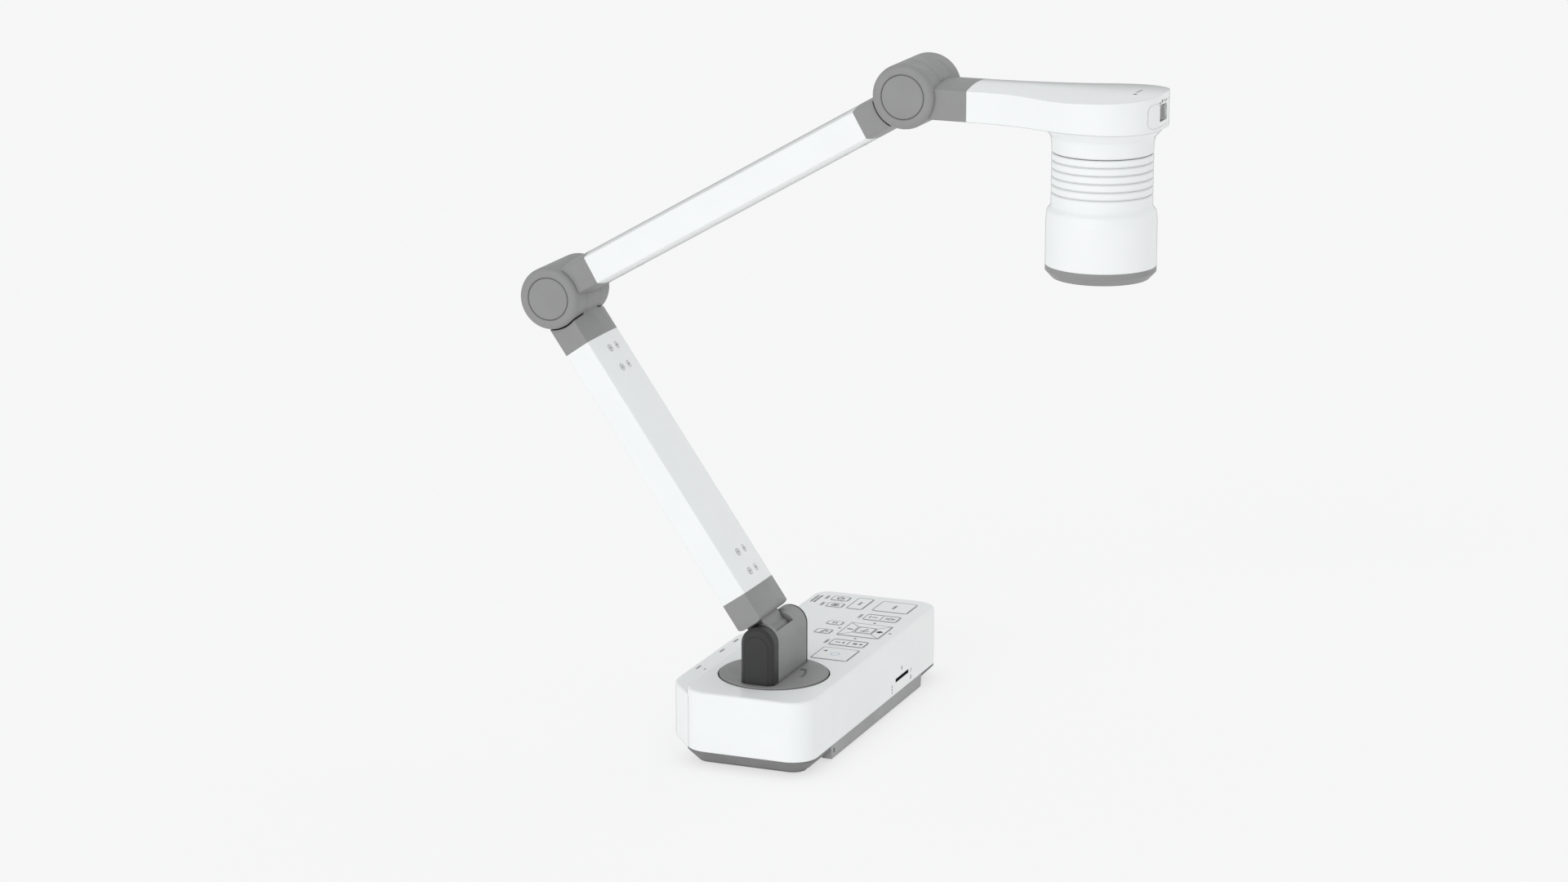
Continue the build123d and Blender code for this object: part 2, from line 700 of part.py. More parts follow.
def tongue_cap(span, hinge, offset):
    """End cap with the round tongue that turns between a hinge's ears."""
    end = span[1]
    collar = along_x(beam_section(), end, hinge.X, offset)
    at_hinge = Pos(hinge.X, 0, hinge.Z)
    tongue = collar & block((end, hinge.X), (-TONGUE_HALF, TONGUE_HALF), (-40, 40))
    cap = collar - at_hinge * bar_y(SADDLE_RADIUS, -40, 40)
    cap += tongue
    cap += at_hinge * bar_y(HINGE_RADIUS, -TONGUE_HALF, TONGUE_HALF)
    cap += spigot(span, end, offset)
    return cap - at_hinge * bar_y(HINGE_PIN + RUNNING, -40, 40)


def hinge_ears(arm):
    """Round drum split by the tongue's space, joined to the piece it carries."""
    drum = bar_y(HINGE_RADIUS, -HINGE_HALF, HINGE_HALF)
    rims = drum.edges().filter_by(GeomType.CIRCLE)
    body = fillet(rims, HINGE_ROUND) + arm
    body -= bar_y(HINGE_RADIUS + TONGUE_GAP, -EAR_INNER, EAR_INNER)
    body -= bar_y(HINGE_PIN, -40, 40)
    for side in (-1, 1):
        body -= span_y(COVER_RADIUS + COVER_GROOVE, side, HINGE_HALF - COVER_DEPTH, 40)
        body -= span_y(PIN_HEAD + 0.4, side, HINGE_HALF - COVER_DEPTH - 5, 40)
        body -= span_y(WASHER_RADIUS + 0.05, side, EAR_INNER - 1, EAR_INNER + 1.5)
    rings = body.edges().filter_by(GeomType.CIRCLE)
    mouths = [
        edge for edge in rings
        if abs(edge.radius - COVER_RADIUS - COVER_GROOVE) < 0.01
        and abs(edge.center().Y) > HINGE_HALF - 0.1
    ]
    return chamfer(mouths, COVER_BEVEL)


def span_y(radius, side, near, far):
    """Round bar along Y between two distances on one side of the middle."""
    low, high = sorted((side * near, side * far))
    return bar_y(radius, low, high)


def hinge_covers():
    """Two round plates that close the drum's ends."""
    outer = HINGE_HALF - 0.1
    plates = []
    for side in (-1, 1):
        plate = span_y(COVER_RADIUS, side, HINGE_HALF - COVER_DEPTH, outer)
        rim = plate.edges().filter_by(GeomType.CIRCLE).sort_by(Axis.Y)[0 if side < 0 else -1]
        plates.append(chamfer(rim, COVER_BEVEL))
    return Part() + plates


def hinge_pin():
    """Headed pin with a riveted end that the hinge turns on."""
    seat = HINGE_HALF - COVER_DEPTH - 5
    pin = bar_y(HINGE_PIN, -seat - 3, seat + 3)
    return pin + bar_y(PIN_HEAD, -seat - 3, -seat) + bar_y(PIN_HEAD, seat, seat + 3)


def hinge_washers():
    """Two friction discs between the tongue and the ears."""
    return Part() + [
        span_y(WASHER_RADIUS, side, TONGUE_HALF + RUNNING, EAR_INNER + 1.5)
        - bar_y(HINGE_PIN, -40, 40)
        for side in (-1, 1)
    ]


# ---------------------------------------------------------------- lower arm

def lower_end_cap():
    """Cap at the lower beam's foot with the knuckle that sits in the stand."""
    start = LOWER_BEAM[0]
    crown = BEAM_SIDE / 2 + BEAM_CROWN
    corners = rectangle(END_CAP_START, start, LOWER_OFFSET - crown, LOWER_OFFSET + crown)
    side_view = along_y(rounded(corners, [END_CAP_ROUND, 0, 0, END_CAP_ROUND]), -40, 40)
    collar = along_x(beam_section(), END_CAP_START, start, LOWER_OFFSET) & side_view
    neck = block((0, start), (-KNUCKLE_HALF, KNUCKLE_HALF), (-NECK_THICK, NECK_THICK))
    cap = collar + neck + bar_y(KNUCKLE_RADIUS, -KNUCKLE_HALF, KNUCKLE_HALF)
    cap += spigot(LOWER_BEAM, start, LOWER_OFFSET)
    return LOWER * (cap - bar_y(SHOULDER_PIN + RUNNING, -20, 20))


def lower_top_cap():
    """Cap at the lower beam's head with the elbow's tongue."""
    return LOWER * tongue_cap(LOWER_BEAM, ELBOW_ON_LOWER, LOWER_OFFSET)


# ---------------------------------------------------------------- upper arm

def elbow_housing():
    """Ears of the elbow and the root of the upper beam in one casting."""
    collar = along_x(beam_section(), 0, UPPER_BEAM[0], UPPER_OFFSET)
    ears = hinge_ears(collar)
    return UPPER * (ears + spigot(UPPER_BEAM, UPPER_BEAM[0], UPPER_OFFSET))


def upper_top_cap():
    """Cap at the upper beam's head with the wrist's tongue."""
    return UPPER * tongue_cap(UPPER_BEAM, WRIST_ON_UPPER, UPPER_OFFSET)


# ---------------------------------------------------------------- head

def crown_section(half, inset=0.0, reach=60.0, floor=HEAD_BOTTOM):
    """Section under the head's crowned top where the head is 2 * half wide."""
    rise = HEAD_TOP - HEAD_SIDE_TOP
    radius = (half * half + rise * rise) / (2 * rise)
    edge = HEAD_TOP - radius + (radius * radius - reach * reach) ** 0.5
    outline = [
        ThreePointArc((-reach, edge - inset), (0, HEAD_TOP - inset), (reach, edge - inset)),
        Line((reach, edge - inset), (reach, floor)),
        Line((reach, floor), (-reach, floor)),
        Line((-reach, floor), (-reach, edge - inset)),
    ]
    return make_face(outline)


def neck_section(inset=0.0):
    """Section of the neck: flat sides and floor, crowned top, in world heights."""
    half = NECK_HALF - inset
    floor, side, crown = HEAD_BOTTOM + inset, HEAD_SIDE_TOP - inset, HEAD_TOP - inset
    outline = [
        ThreePointArc((-half, side), (0, crown), (half, side)),
        Line((half, side), (half, floor)),
        Line((half, floor), (-half, floor)),
        Line((-half, floor), (-half, side)),
    ]
    return fillet(make_face(outline).vertices(), BEAM_EDGE)


def wrist_housing():
    """Ears of the wrist and the head's grey neck in one casting."""
    collar = along_x(neck_section(), 0, NECK_END, -WRIST.Z)
    plug = along_x(neck_section(HEAD_WALL + 0.1), NECK_END - 1, NECK_END + 24, -WRIST.Z)
    plug -= along_x(neck_section(HEAD_WALL + 2.6), NECK_END + 4, NECK_END + 25, -WRIST.Z)
    return HEAD * (hinge_ears(collar) + plug)


def head_plan(inset=0.0):
    """Plan of the head: the neck widens into a rounded nose with a flat front."""
    start = WRIST.X + NECK_END
    half, waist, nose = NECK_HALF - inset, WAIST_HALF - inset, NOSE_HALF - inset
    corner = NOSE_CORNER - inset
    bend, flat = BARREL_X + NOSE_FRONT - NOSE_CORNER, NOSE_HALF - NOSE_CORNER
    front, diagonal = bend + corner, corner * cos(radians(45))
    outline = [Line((start, -half), (start, half)), Line((front, flat), (front, -flat))]
    for side in (1, -1):
        outline += [
            Spline((start, side * half), (WAIST_X, side * waist), (BARREL_X, side * nose),
                   tangents=[(1, 0), (1, 0)]),
            Line((BARREL_X, side * nose), (bend, side * nose)),
            ThreePointArc((bend, side * nose), (bend + diagonal, side * (flat + diagonal)),
                          (front, side * flat)),
        ]
    return make_face(outline)


def head_solid(inset=0.0):
    """Head's plan cut to the crowned top."""
    body = lift(head_plan(inset), HEAD_BOTTOM, HEAD_TOP + 2)
    widths = ((WRIST.X + NECK_END - 1, NECK_HALF), (WAIST_X, WAIST_HALF),
              (BARREL_X, NOSE_HALF), (BARREL_X + NOSE_FRONT + 2, NOSE_HALF))
    sections = [
        Plane((x, 0, 0), x_dir=(0, 1, 0), z_dir=(1, 0, 0)) * crown_section(half, inset)
        for x, half in widths
    ]
    return body & loft(sections)


def switch_recess():
    """Pocket in the nose for the slide switch, with a slot for its stem."""
    floor = BARREL_X + NOSE_FRONT - SWITCH_DEPTH
    corners = rectangle(-SWITCH_HALF_WIDTH, SWITCH_HALF_WIDTH, *SWITCH_Z)
    pocket = along_x(rounded(corners, [0.8, 0.8, SWITCH_CORNER, SWITCH_CORNER]), floor, floor + 10)
    slot = block((floor - 5, floor + 1), (-SWITCH_TRAVEL - 1.6, SWITCH_TRAVEL + 1.6), (465.4, 468.6))
    return pocket + slot


def nose_seam():
    """Fine groove on the nose that frames the switch."""
    frame = [
        rounded(rectangle(-SEAM_HALF, SEAM_HALF, *SEAM_Z, grow=grow), [5.0 + grow] * 4)
        for grow in (0.0, -0.4)
    ]
    outline = along_x(frame[0], BARREL_X, 280.0) - along_x(frame[1], BARREL_X - 1, 281.0)
    return outline - lift(head_plan(SEAM_DEPTH), HEAD_BOTTOM - 1, HEAD_TOP + 1)


def head_top_cover():
    """White upper casing of the head, open below."""
    start = WRIST.X + NECK_END
    hollow = lift(head_plan(HEAD_WALL), HEAD_BOTTOM - 1, HEAD_SIDE_TOP - HEAD_WALL)
    hollow -= block((start - 1, start + SLEEVE_LENGTH), (-50, 50), (450, 480))
    hollow -= block((BARREL_X + SWITCH_BLOCK, 290), (-10, 10), (450, 480))
    cover = head_solid() - hollow
    cover -= along_x(neck_section(HEAD_WALL), start - 1, start + SLEEVE_LENGTH + 1)
    return cover - switch_recess() - nose_seam()


def head_bottom_cover():
    """White floor of the head with the cone that meets the barrel."""
    plate = lift(head_plan(HEAD_WALL + 0.1), HEAD_BOTTOM, HEAD_BOTTOM + 2)
    plate -= block((100, WRIST.X + NECK_END + SLEEVE_LENGTH + 0.1), (-50, 50), (450, 480))
    plate -= block((BARREL_X + SWITCH_BLOCK - 0.1, 290), (-10.1, 10.1), (450, 480))
    seam = GROOVE_TOP + SEAM_GAP
    slope = [(0, HEAD_BOTTOM), (NOSE_FRONT - 0.4, HEAD_BOTTOM), CONE_BEND[0]]
    neck = [
        CONE_BEND[-1], (NECK_RADIUS, GROOVE_TOP + GROOVE_SIZE),
        (NECK_RADIUS - GROOVE_SIZE + SEAM_GAP, seam), (0, seam), (0, HEAD_BOTTOM),
    ]
    cone_outline = [
        Polyline(*slope),
        Spline(*CONE_BEND, tangents=[(-0.76, -0.65), (0, -1)]),
        Polyline(*neck),
    ]
    cone = revolve(Plane.XZ * make_face(cone_outline), Axis.Z)
    cover = plate + Pos(BARREL_X, 0, 0) * cone
    cover -= bar_z(30.0, 447.0, 470.0, BARREL_X)
    return cover - bar_z(SLEEVE_HUB + RUNNING, 430.0, 470.0, BARREL_X)


def lamp_switch():
    """Slide switch in the nose: ribbed knob and the stem behind it."""
    floor = BARREL_X + NOSE_FRONT - SWITCH_DEPTH
    knob = block((floor + 0.2, floor + 2.6), (-3.4, 3.4), (462.2, 471.8))
    knob = chamfer(knob.edges().group_by(Axis.X)[-1], 0.5)
    for y in (-1.5, 0, 1.5):
        knob -= block((floor + 2.2, floor + 4), (y - 0.3, y + 0.3), (463.5, 470.5))
    return knob + block((floor - 4.6, floor + 1), (-1.5, 1.5), (465.5, 468.5))


# ---------------------------------------------------------------- barrel

def groove_points():
    """Outline of the grip grooves below the turning seam, from the top one down."""
    points = []
    for index in range(1, GROOVES):
        z = GROOVE_TOP - index * GROOVE_STEP
        floor = NECK_RADIUS - GROOVE_SIZE
        points += [(NECK_RADIUS, z + GROOVE_SIZE), (floor, z), (NECK_RADIUS, z - GROOVE_SIZE)]
    return points


def barrel_sleeve():
    """White sleeve with grip grooves; its hub turns in the head's floor."""
    bore, top = SLEEVE_HUB - 3.5, GROOVE_TOP - SEAM_GAP
    grip = [
        (bore, top), (NECK_RADIUS - GROOVE_SIZE + SEAM_GAP, top),
        (NECK_RADIUS, GROOVE_TOP - GROOVE_SIZE), *groove_points(), (NECK_RADIUS, FLARE_TOP),
    ]
    neck_wall, collar_wall = NECK_RADIUS - 2.5, COLLAR_RADIUS - 2.4
    shoulder = COLLAR_RADIUS - COLLAR_SHOULDER
    flare = [
        (NECK_RADIUS, FLARE_TOP),
        ((NECK_RADIUS + shoulder) / 2, (FLARE_TOP + FLARE_BOTTOM) / 2),
        (shoulder, FLARE_BOTTOM),
    ]
    collar = [
        (shoulder, FLARE_BOTTOM), (COLLAR_RADIUS, COLLAR_TAPER), (COLLAR_RADIUS, RING_TOP),
        (collar_wall, RING_TOP), (collar_wall, FLARE_BOTTOM - 4), (neck_wall, FLARE_TOP - 4),
        (neck_wall, top - 2.5), (bore, top - 2.5), (bore, top),
    ]
    outline = [Polyline(*grip), Spline(*flare, tangents=[(0, -1), (0, -1)]), Polyline(*collar)]
    body = revolve(Plane.XZ * make_face(outline), Axis.Z)
    body += ring_z(SLEEVE_HUB, bore, top - 1, 451.5)
    return Pos(BARREL_X, 0, 0) * body


def barrel_retainer():
    """Ring inside the head that keeps the barrel's hub from dropping out."""
    return ring_z(26.0, SLEEVE_HUB, 447.3, 450.3, BARREL_X)


def barrel_ring():
    """Dark rim round the barrel's mouth."""
    lip, lip_top = COLLAR_RADIUS - 2.5, RING_TOP + 4.3
    outline = [
        (25.0, RING_BOTTOM), (RING_MOUTH, RING_BOTTOM), (COLLAR_RADIUS, RING_EDGE),
        (COLLAR_RADIUS, RING_TOP), (lip, RING_TOP), (lip, lip_top), (31.0, lip_top),
        (31.0, RING_TOP), (27.0, RING_TOP), (27.0, WINDOW_BOTTOM), (25.0, WINDOW_BOTTOM),
    ]
    section = Plane.XZ * make_face(Polyline(*outline, close=True))
    return Pos(BARREL_X, 0, 0) * revolve(section, Axis.Z)


def lamp_window():
    """Clear ring in front of the lamps."""
    return ring_z(26.9, LENS_TUBE + 0.1, WINDOW_BOTTOM, WINDOW_BOTTOM + 2.0, BARREL_X)


def lamp_board():
    """Ring-shaped circuit board with eight lamps."""
    board = ring_z(26.9, LENS_TUBE + 0.1, 361.4, 363.0, BARREL_X)
    lamps = PolarLocations(20.5, 8) * Box(4, 4, 2)
    return board + Pos(BARREL_X, 0, 361.2) * (Part() + lamps)


def lens_housing():
    """Tube that holds the lens and carries the sensor board."""
    tube = bar_z(LENS_TUBE, 357.0, 424.0, BARREL_X) + bar_z(34.0, 368.0, 370.0, BARREL_X)
    tube -= bar_z(11.0, 350.0, 366.0, BARREL_X)
    tube -= bar_z(12.0, 366.0, 430.0, BARREL_X)
    return chamfer(tube.edges().group_by(Axis.Z)[0].sort_by(SortBy.LENGTH)[0], 1.5)


def front_lens():
    """Front glass: a disc with a domed outer face."""
    glass = bar_z(10.9, 358.5, 364.0, BARREL_X)
    return glass & Pos(BARREL_X, 0, 388.5) * Sphere(30.0)


def sensor_board():
    """Circuit board on the lens tube with the image sensor below it."""
    board = Pos(BARREL_X, 0, 424.8) * Box(30, 30, 1.6)
    return board + Pos(BARREL_X, 0, 423.3) * Box(11, 9, 1.8)


# ---------------------------------------------------------------- all pieces

def pieces():
    """Every piece by the name of its node."""
    nodes = {
        "base_shell": base_shell(), "base_tray": base_tray(), "base_skirt": base_skirt(),
        "base_feet": base_feet(), "base_ballast": base_ballast(), "base_screws": base_screws(),
        "pedestal": pedestal(), "swivel_bushing": swivel_bushing(), "main_board": main_board(),
        "key_board": key_board(), "card_socket": card_socket(), "power_socket": power_socket(),
        "video_socket": video_socket(), "display_socket": display_socket(),
        "turntable_disc": turntable_disc(), "swivel_nut": swivel_nut(), "stand_post": stand_post(),
        "stand_front_cap": stand_front_cap(), "stand_rear_cap": stand_rear_cap(),
        "stand_screws": stand_screws(), "shoulder_shaft": shoulder_shaft(),
        "lower_end_cap": lower_end_cap(), "lower_beam": LOWER * beam(LOWER_BEAM, LOWER_OFFSET),
        "lower_frame": LOWER * arm_frame(LOWER_BEAM, LOWER_OFFSET), "lower_top_cap": lower_top_cap(),
        "lower_screws": LOWER * arm_screws(LOWER_BEAM, LOWER_OFFSET),
        "elbow_housing": elbow_housing(), "elbow_covers": UPPER * hinge_covers(),
        "elbow_shaft": UPPER * hinge_pin(), "elbow_washers": UPPER * hinge_washers(),
        "upper_beam": UPPER * beam(UPPER_BEAM, UPPER_OFFSET),
        "upper_frame": UPPER * arm_frame(UPPER_BEAM, UPPER_OFFSET), "upper_top_cap": upper_top_cap(),
        "upper_screws": UPPER * arm_screws(UPPER_BEAM, UPPER_OFFSET),
        "wrist_housing": wrist_housing(), "wrist_covers": HEAD * hinge_covers(),
        "wrist_shaft": HEAD * hinge_pin(), "wrist_washers": HEAD * hinge_washers(),
        "head_top_cover": head_top_cover(), "head_bottom_cover": head_bottom_cover(),
        "lamp_switch": lamp_switch(), "barrel_sleeve": barrel_sleeve(),
        "barrel_retainer": barrel_retainer(), "barrel_ring": barrel_ring(),
        "lamp_window": lamp_window(), "lamp_board": lamp_board(), "lens_housing": lens_housing(),
        "front_lens": front_lens(), "sensor_board": sensor_board(),
        "key_pad": key_pad(), "key_enter": key_enter(),
    }
    for name, bounds in KEYS.items():
        if name not in nodes:
            nodes[name] = key_cap(bounds)
    for name, bounds in ROCKERS.items():
        nodes[name] = key_cap(bounds) + rocker_pin(name)
    return nodes


os.makedirs("parts", exist_ok=True)
for name, solid in pieces().items():
    export_step(solid, f"parts/{name}.step")
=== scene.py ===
import json
import math

import bpy
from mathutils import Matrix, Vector


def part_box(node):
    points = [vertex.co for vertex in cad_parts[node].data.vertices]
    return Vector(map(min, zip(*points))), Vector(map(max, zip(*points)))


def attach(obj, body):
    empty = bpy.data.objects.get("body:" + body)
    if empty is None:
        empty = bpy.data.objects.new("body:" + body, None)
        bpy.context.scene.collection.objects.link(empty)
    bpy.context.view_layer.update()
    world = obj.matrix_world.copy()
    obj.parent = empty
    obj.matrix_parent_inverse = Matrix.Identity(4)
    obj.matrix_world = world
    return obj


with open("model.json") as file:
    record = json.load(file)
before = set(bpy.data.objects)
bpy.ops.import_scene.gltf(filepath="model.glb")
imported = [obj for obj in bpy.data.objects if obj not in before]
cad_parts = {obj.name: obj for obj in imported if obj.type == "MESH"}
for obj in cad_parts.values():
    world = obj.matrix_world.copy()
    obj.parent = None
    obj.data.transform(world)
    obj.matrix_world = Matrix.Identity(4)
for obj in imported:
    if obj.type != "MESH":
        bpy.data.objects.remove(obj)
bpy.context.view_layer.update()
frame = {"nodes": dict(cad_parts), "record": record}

# Looks of a document camera: materials for every CAD piece, printed marks,
# studio light and the camera. The printed marks and the materials' features are
# sized in millimetres, and MM turns them into Blender's metres.
MM = 0.001
NODES = frame["nodes"]
SLOT_OF = {row["node"]: row["material_slot"] for row in frame["record"]["subparts"]}

# Materials
CORNER_RADIUS = 0.8       # sharp corners are shaded as if rounded by this
WORN_RADIUS = 0.7         # width of the rubbed band along an edge
# painted shade: colour that edges and silhouettes turned from the viewer are darkened towards
EDGE_SHADE_COLOUR = (0.12, 0.125, 0.13)
CREVICE_SHADE_REACH = 4.0       # painted shade: walls closer together than this darken each other's colour
# most that the painted crevice shade darkens a colour
CREVICE_SHADE_SHARE = 0.6
WHITE = (0.865, 0.885, 0.885)
HINGE_GREY = (0.275, 0.275, 0.275)

# Printed marks
INK_LIFT = 0.01           # gap under the ink, so that it never shares the face
INK_DEPTH = 0.04
LINE = 0.62               # width of a printed outline
OUTLINE_INSET = 1.25      # from the side of a key's box, hidden flange included
PAD_HOLE = 7.4            # half the outline round the key in the pad's middle
DASH_PITCH = 2.2          # length of one dash and its gap, about
CROWN_RISE = 3.0          # arch of the head's top across its width
SHELF_DROP = 5.0          # from the casing's top down to the shelf by the sockets
ARROW_RADIUS = 22.0       # of the turntable's curved arrow

# Studio: angles in degrees
FLOOR_HALF = 40.0         # metres
FLOOR_GREY = (0.36, 0.36, 0.36, 1.0)
FLOOR_GLOW = 0.62
SKY_COLOUR = (0.99, 1.0, 1.0, 1.0)
SKY_LIGHT = 0.74          # strength of the sky as a light
SKY_SEEN = 0.945          # strength of the sky as the background
SUNS = (                  # name, azimuth, elevation, strength, width
    ("front_sun", -8, 12, 0.96, 50),
    ("back_sun", 160, 30, 0.25, 60),
)
CAMERA_PLACE = (1.0619, -2.6292, 0.9471)
CAMERA_DOWN = 14.361      # below the horizon
CAMERA_TURN = 21.857      # about the vertical
FOCAL_LENGTH = 98.1       # on a sensor 36 mm wide


# ---------------------------------------------------------------- shader helpers

def node_tree(name):
    """New node material: the material, its tree and its shader."""
    material = bpy.data.materials.new(name)
    material.use_nodes = True
    tree = material.node_tree
    return material, tree, tree.nodes["Principled BSDF"]


def add(tree, kind, **values):
    """Shader node with its plain properties set."""
    node = tree.nodes.new(kind)
    for key, value in values.items():
        setattr(node, key, value)
    return node


def noise(tree, size_mm, detail=2.0, rough=0.5):
    """Noise in the object's own space, with features about size_mm across."""
    place = add(tree, "ShaderNodeTexCoord")
    cloud = add(tree, "ShaderNodeTexNoise")
    cloud.inputs["Scale"].default_value = 1.0 / (size_mm * MM)
    cloud.inputs["Detail"].default_value = detail
    cloud.inputs["Roughness"].default_value = rough
    tree.links.new(place.outputs["Object"], cloud.inputs["Vector"])
    return cloud.outputs["Fac"]


def spread(tree, value, low, high):
    """Noise value stretched from its usual middle range to low..high."""
    ramp = add(tree, "ShaderNodeMapRange")
    ramp.inputs["From Min"].default_value = 0.3
    ramp.inputs["From Max"].default_value = 0.7
    ramp.inputs["To Min"].default_value = low
    ramp.inputs["To Max"].default_value = high
    tree.links.new(value, ramp.inputs["Value"])
    return ramp.outputs["Result"]


def arithmetic(tree, operation, first, second):
    """Maths node; each input is a socket or a number."""
    node = add(tree, "ShaderNodeMath", operation=operation)
    for index, value in enumerate((first, second)):
        if isinstance(value, (int, float)):
            node.inputs[index].default_value = value
        else:
            tree.links.new(value, node.inputs[index])
    return node.outputs["Value"]


def mix_colour(tree, factor, first, second):
    """Colour between two; each colour is a socket or a triple, and factor is a socket."""
    node = add(tree, "ShaderNodeMix", data_type="RGBA")
    tree.links.new(factor, node.inputs["Factor"])
    for name, value in (("A", first), ("B", second)):
        socket = [s for s in node.inputs if s.name == name and s.type == "RGBA"][0]
        if isinstance(value, tuple):
            socket.default_value = (*value, 1.0)
        else:
            tree.links.new(value, socket)
    return [s for s in node.outputs if s.type == "RGBA"][0]


def bump(tree, shader, height, depth_mm, strength=1.0):
    """Adds a bump of the given depth to the shader's normal."""
    node = add(tree, "ShaderNodeBump")
    node.inputs["Strength"].default_value = strength
    node.inputs["Distance"].default_value = depth_mm * MM
    tree.links.new(height, node.inputs["Height"])
    before = shader.inputs["Normal"]
    if before.links:
        tree.links.new(before.links[0].from_socket, node.inputs["Normal"])
    tree.links.new(node.outputs["Normal"], before)


def rounded_normal(tree, radius_mm, samples):
    """Normal as if sharp corners were rounded by a small radius."""
    rounded = add(tree, "ShaderNodeBevel", samples=samples)
    rounded.inputs["Radius"].default_value = radius_mm * MM
    return rounded.outputs["Normal"]


def worn_edges(tree):
    """Mask near 1 along edges, broken up by noise."""
    surface = add(tree, "ShaderNodeNewGeometry")
    cosine = add(tree, "ShaderNodeVectorMath", operation="DOT_PRODUCT")
    tree.links.new(rounded_normal(tree, WORN_RADIUS, 4), cosine.inputs[0])
    tree.links.new(surface.outputs["Normal"], cosine.inputs[1])
    bent = arithmetic(tree, "SUBTRACT", 1.0, cosine.outputs["Value"])
    sharp = arithmetic(tree, "MULTIPLY", bent, 6.0)
    edge = arithmetic(tree, "MINIMUM", sharp, 1.0)
    return arithmetic(tree, "MULTIPLY", edge, spread(tree, noise(tree, 3.0, 4.0), 0.2, 1.0))


def smooth_range(tree, value, start, end, top):
    """Value eased from 0 at start to top at end."""
    ramp = add(tree, "ShaderNodeMapRange", interpolation_type="SMOOTHSTEP")
    ramp.inputs["From Min"].default_value = start
    ramp.inputs["From Max"].default_value = end
    ramp.inputs["To Max"].default_value = top
    tree.links.new(value, ramp.inputs["Value"])
    return ramp.outputs["Result"]


def turned_away(tree):
    """Layer weight node, whose Facing is 0 square to the viewer and 1 edge on."""
    node = add(tree, "ShaderNodeLayerWeight")
    node.inputs["Blend"].default_value = 0.5
    return node


def painted_edge_shade(tree, colour, normal, amount):
    """Colour painted darker where the surface, or its rounded corner, turns from the viewer: painted shade
    along silhouettes and edges.
    """
    corner = turned_away(tree)
    tree.links.new(normal, corner.inputs["Normal"])
    flat = turned_away(tree)
    bend = arithmetic(tree, "SUBTRACT", corner.outputs["Facing"], flat.outputs["Facing"])
    silhouette = smooth_range(tree, corner.outputs["Facing"], 0.78, 0.99, amount)
    edge = smooth_range(tree, bend, 0.06, 0.3, amount)
    return mix_colour(tree, arithmetic(tree, "MAXIMUM", silhouette, edge), colour, EDGE_SHADE_COLOUR)


def painted_crevice_shade(tree, colour, dark):
    """Colour painted darker in grooves and narrow gaps: painted shade from ambient occlusion."""
    hollow = add(tree, "ShaderNodeAmbientOcclusion", samples=6)
    hollow.inputs["Distance"].default_value = CREVICE_SHADE_REACH * MM
    closed = arithmetic(tree, "SUBTRACT", 1.0, hollow.outputs["AO"])
    return mix_colour(tree, smooth_range(tree, closed, 0.08, 0.75, CREVICE_SHADE_SHARE), colour, dark)


# ---------------------------------------------------------------- materials

def moulded(name, colour, roughness, grain_mm, grain_depth_mm, edge_colour, edge_share,
            mottle=0.04, rim=0.0):
    """Injection-moulded plastic: fine grain, faint mottling, edges rubbed a little, painted shade in
    grooves and gaps, and, where rim is given, painted shade along edges turned from the viewer.
    """
    material, tree, shader = node_tree(name)
    light = tuple(min(1.0, c * (1 + mottle)) for c in colour)
    dark = tuple(c * (1 - mottle) for c in colour)
    clouds = spread(tree, noise(tree, 28.0, 3.0), 0.0, 1.0)
    speckle = spread(tree, noise(tree, 1.4, 2.0), 0.0, 1.0)
    tone = mix_colour(tree, clouds, dark, light)
    fine = mix_colour(tree, arithmetic(tree, "MULTIPLY", speckle, 0.25), tone, dark)
    edges = arithmetic(tree, "MULTIPLY", worn_edges(tree), edge_share)
    tone = mix_colour(tree, edges, fine, edge_colour)
    normal = rounded_normal(tree, CORNER_RADIUS, 6)
    tree.links.new(normal, shader.inputs["Normal"])
    # painted shade along edges and silhouettes turned from the viewer, as strong as rim
    if rim:
        tone = painted_edge_shade(tree, tone, normal, rim)
    # painted shade in grooves and narrow gaps, towards a fifth of the colour
    tone = painted_crevice_shade(tree, tone, tuple(c * 0.2 for c in colour))
    tree.links.new(tone, shader.inputs["Base Color"])
    gloss = spread(tree, noise(tree, 9.0, 4.0, 0.6), roughness - 0.06, roughness + 0.08)
    tree.links.new(gloss, shader.inputs["Roughness"])
    shader.inputs["Specular IOR Level"].default_value = 0.42
    bump(tree, shader, noise(tree, grain_mm, 3.0, 0.6), grain_depth_mm, 0.6)
    bump(tree, shader, noise(tree, 30.0, 1.0), 0.05, 0.35)
    return material


def white_plastic():
    """Cool white satin casing, with painted shade along edges turned from the viewer."""
    material = moulded("white_casing", WHITE, 0.38, 0.5, 0.012, (0.93, 0.94, 0.94), 0.35, 0.012, rim=0.75)
    shader = material.node_tree.nodes["Principled BSDF"]
    shader.inputs["Subsurface Weight"].default_value = 0.06
    shader.inputs["Subsurface Radius"].default_value = (0.002, 0.002, 0.002)
    shader.inputs["Coat Weight"].default_value = 0.12
    shader.inputs["Coat Roughness"].default_value = 0.25
    return material


def key_plastic():
    """Flush keys, a touch duller than the casing."""
    return moulded("key_film", (0.87, 0.885, 0.885), 0.42, 0.35, 0.008, (0.9, 0.9, 0.9), 0.3, 0.01)


def grey_plastic():
    """Mid-grey textured hinge castings."""
    return moulded("grey_hinge", HINGE_GREY, 0.5, 0.45, 0.035, (0.4, 0.4, 0.4), 0.35, 0.05)


